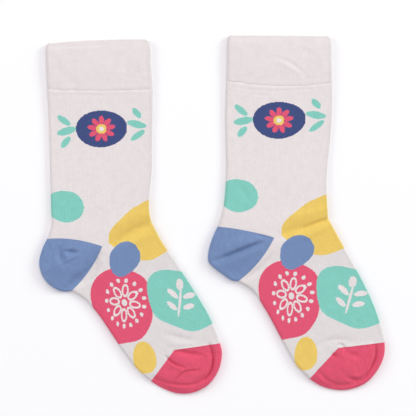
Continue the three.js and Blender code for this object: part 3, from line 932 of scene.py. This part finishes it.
def jersey_colours(colours):
    """The plain ground with its fields of colour, a rosette on the foot and a badge on the leg."""

    def colour_of(tree, knit):
        cells = knit["cells"]
        below = add(tree, "MapRange", (knit["course"], *BACKED_COURSES))
        whites = {0: below, 6: list(colours.ground), 7: list(colours.backed)}
        surface = add(tree, "Mix", whites, 2, data_type="RGBA")
        rough = grain(tree, cells, PEBBLE_WANDER_SIZE, detail=0.0)
        wander = add(tree, "Math", (rough, PEBBLE_WANDER, -PEBBLE_WANDER / 2), operation="MULTIPLY_ADD")

        petals, dots, florets = ROSETTE["petals"], ROSETTE["dots"], BADGE["petals"]
        at_petals = round_about(tree, cells, ROSETTE["at"], petals["count"])
        at_dots = round_about(tree, cells, ROSETTE["at"], dots["count"])
        at_florets = round_about(tree, cells, BADGE["at"], florets["count"])
        fields = [(colour, cells, at, size, turn, wander) for colour, at, size, turn in PEBBLES]
        fields += [
            ("ground", cells, ROSETTE["at"], ROSETTE["heart"]),
            ("ground", at_petals, petals["out"], petals["size"]),
            ("ground", at_dots, dots["out"], dots["size"]),
            ("rose", at_petals, petals["out"], petals["core"]),
        ]
        fields += [(colour, cells, at, size, turn) for colour, at, size, turn in LEAVES]
        fields += [
            ("navy", cells, BADGE["at"], BADGE["size"]),
            ("rose", at_florets, florets["out"], florets["size"]),
            ("yellow", cells, BADGE["at"], BADGE["disc"]),
            ("ground", cells, BADGE["at"], BADGE["heart"]),
        ]
        for colour, *field in fields:
            over = {0: inside(tree, *field), 6: surface, 7: list(getattr(colours, colour))}
            surface = add(tree, "Mix", over, 2, data_type="RGBA")
        return surface

    return colour_of


def one_colour(value):
    """The same yarn all over, a little lighter and darker from place to place."""

    def colour_of(tree, knit):
        dye = grain(tree, knit["places"], DYE_SIZE, detail=1.0)
        darker = [part * DARKER_DYE for part in value[:3]] + [1.0]
        return add(tree, "Mix", {0: dye, 6: list(value), 7: darker}, 2, data_type="RGBA")

    return colour_of


def lay_pair(scene, build, knit):
    """Builds one piece of each sock and gives it its knit."""
    for sock, creases in PAIR:
        piece = build(sock, prepared(creases), scene.sock_sizes)
        piece.data.materials.append(knit)


def length_property(name, description, metres):
    """A size that a user can change."""
    return bpy.props.FloatProperty(name=name, description=description, default=metres, unit="LENGTH")


class SockSizes(bpy.types.PropertyGroup):
    """Sizes that a user would change."""

    cloth_thickness: length_property("Cloth thickness", "Wall of the leg and foot", 0.8 * MM)
    welt_thickness: length_property("Welt thickness", "Wall of the double cuff", 1.5 * MM)
    pocket_thickness: length_property("Pocket thickness", "Wall of the heel and the toe", 0.8 * MM)
    camera_height: length_property("Camera height", "Camera above the floor", 0.8565)
    camera_lens: bpy.props.FloatProperty(
        name="Lens", description="Focal length in millimetres", default=85.0, unit="CAMERA"
    )


def colour_property(name, description, code):
    """A colour that a user can change, from its hex value."""
    return bpy.props.FloatVectorProperty(
        name=name, description=description, default=from_hex(code), size=4, subtype="COLOR", min=0, max=1
    )


class SockColours(bpy.types.PropertyGroup):
    """Colours of the yarns."""

    cuff: colour_property("Cuff", "Undyed white of the welt", "#EAE1E2")
    ground: colour_property("Ground", "White of the jersey", "#E8DFE0")
    backed: colour_property("Foot ground", "The same white with dyed yarns floating behind", "#E2DBDC")
    heel: colour_property("Heel", "Blue of the heel", "#7890BC")
    toe: colour_property("Toe", "Rose of the toe", "#E65372")
    yellow: colour_property("Yellow", "Yellow field", "#EDCA68")
    rose: colour_property("Rose", "Rose field", "#E35675")
    teal: colour_property("Teal", "Teal field", "#84CDC0")
    blue: colour_property("Blue", "Blue field", "#748CB8")
    navy: colour_property("Navy", "Dark badge", "#404E80")


def white_paper():
    """Matt paper of the studio floor."""
    # Uncoated white paper: hardly any gloss, so it holds the soft shadows evenly
    paper = bpy.data.materials.new("White paper sweep")
    paper.use_nodes = True
    shader = paper.node_tree.nodes["Principled BSDF"]
    shader.inputs["Base Color"].default_value = from_hex("#FAF9FB")
    shader.inputs["Roughness"].default_value = 0.9
    shader.inputs["Specular IOR Level"].default_value = 0.1
    return paper


def lay_floor(scene):
    """A plain floor under the socks."""
    mesh = bpy.data.meshes.new("Floor")
    slab = bmesh.new()
    bmesh.ops.create_grid(slab, x_segments=1, y_segments=1, size=FLOOR_HALF)
    slab.to_mesh(mesh)
    slab.free()
    mesh.materials.append(white_paper())
    floor = bpy.data.objects.new("Floor", mesh)
    scene.collection.objects.link(floor)


def place_camera(scene):
    """A camera straight above, a little aside of the middle, as the photograph was framed."""
    lens = bpy.data.cameras.new("Camera")
    lens.lens = scene.sock_sizes.camera_lens
    lens.sensor_width = SENSOR_WIDTH
    camera = bpy.data.objects.new("Camera", lens)
    camera.location = (*CAMERA_ASIDE, scene.sock_sizes.camera_height)
    scene.collection.objects.link(camera)
    scene.camera = camera


def light_studio(scene):
    """Softboxes that face the socks, and an even light all round."""
    for light in LIGHTS:
        lamp = bpy.data.lights.new(light["name"], "AREA")
        lamp.size = light["size"]
        lamp.energy = light["power"]
        lamp.color = light["tint"]
        softbox = bpy.data.objects.new(light["name"], lamp)
        softbox.location = light["at"]
        softbox.rotation_euler = (-Vector(light["at"])).to_track_quat("-Z", "Y").to_euler()
        softbox.visible_camera = False
        scene.collection.objects.link(softbox)
    world = bpy.data.worlds.new("Studio")
    world.use_nodes = True
    sky = world.node_tree.nodes["Background"]
    sky.inputs["Color"].default_value = from_hex("#FDF3FC")
    sky.inputs["Strength"].default_value = 0.58
    scene.world = world
    scene.view_settings.view_transform = "Standard"


class SOCKS_OT_stage(bpy.types.Operator):
    """Pale floor, soft studio light and a camera straight above"""

    bl_idname = "socks.stage"
    bl_label = "Stage"

    def execute(self, context):
        lay_floor(context.scene)
        place_camera(context.scene)
        light_studio(context.scene)
        return {"FINISHED"}


class SOCKS_OT_cuffs(bpy.types.Operator):
    """Double welts of both socks"""

    bl_idname = "socks.cuffs"
    bl_label = "Cuffs"

    def execute(self, context):
        # Fine ribbed welt of white cotton with elastic: matt, with a faint bloom
        rib = cotton("Cotton rib welt", one_colour(context.scene.sock_colours.cuff), WELT_KNIT)
        lay_pair(context.scene, build_cuff, rib)
        return {"FINISHED"}


class SOCKS_OT_legs(bpy.types.Operator):
    """Leg and foot tubes of both socks"""

    bl_idname = "socks.legs"
    bl_label = "Legs and feet"

    def execute(self, context):
        # White single jersey with fields of dyed yarn, whose borders step by a stitch
        jersey = cotton("Combed cotton jersey", jersey_colours(context.scene.sock_colours), JERSEY_KNIT)
        lay_pair(context.scene, build_leg_foot, jersey)
        return {"FINISHED"}


class SOCKS_OT_heels(bpy.types.Operator):
    """Heel pockets of both socks"""

    bl_idname = "socks.heels"
    bl_label = "Heels"

    def execute(self, context):
        # Denser short-row knit of blue cotton, a little brushed: soft, with plain rows of stitches
        knit = cotton("Short-row heel knit", one_colour(context.scene.sock_colours.heel), HEEL_KNIT)
        lay_pair(context.scene, build_heel, knit)
        return {"FINISHED"}


class SOCKS_OT_toes(bpy.types.Operator):
    """Toe pockets of both socks"""

    bl_idname = "socks.toes"
    bl_label = "Toes"

    def execute(self, context):
        # Denser short-row knit of rose cotton, a little brushed: soft, with plain rows of stitches
        knit = cotton("Short-row toe knit", one_colour(context.scene.sock_colours.toe), TOE_KNIT)
        lay_pair(context.scene, build_toe, knit)
        return {"FINISHED"}


OPERATORS = (SOCKS_OT_stage, SOCKS_OT_cuffs, SOCKS_OT_legs, SOCKS_OT_heels, SOCKS_OT_toes)


class SOCKS_PT_panel(bpy.types.Panel):
    """Lists what makes the pair"""

    bl_idname = "SOCKS_PT_panel"
    bl_label = "Pair of socks"
    bl_space_type = "VIEW_3D"
    bl_region_type = "UI"
    bl_category = "Socks"

    def draw(self, context):
        for group in (context.scene.sock_sizes, context.scene.sock_colours):
            for name in group.__annotations__:
                self.layout.prop(group, name)
        for operator in OPERATORS:
            self.layout.operator(operator.bl_idname)


CLASSES = (SockSizes, SockColours, *OPERATORS, SOCKS_PT_panel)


def register():
    """Makes the operators and the panel known, and keeps the sizes and colours on the scene."""
    for cls in CLASSES:
        bpy.utils.register_class(cls)
    bpy.types.Scene.sock_sizes = bpy.props.PointerProperty(type=SockSizes)
    bpy.types.Scene.sock_colours = bpy.props.PointerProperty(type=SockColours)


def unregister():
    """Takes back what register did."""
    del bpy.types.Scene.sock_colours
    del bpy.types.Scene.sock_sizes
    for cls in reversed(CLASSES):
        bpy.utils.unregister_class(cls)


def main():
    """Makes the stage and the pair."""
    register()
    bpy.ops.socks.stage()
    bpy.ops.socks.cuffs()
    bpy.ops.socks.legs()
    bpy.ops.socks.heels()
    bpy.ops.socks.toes()


if __name__ == "__main__":
    main()
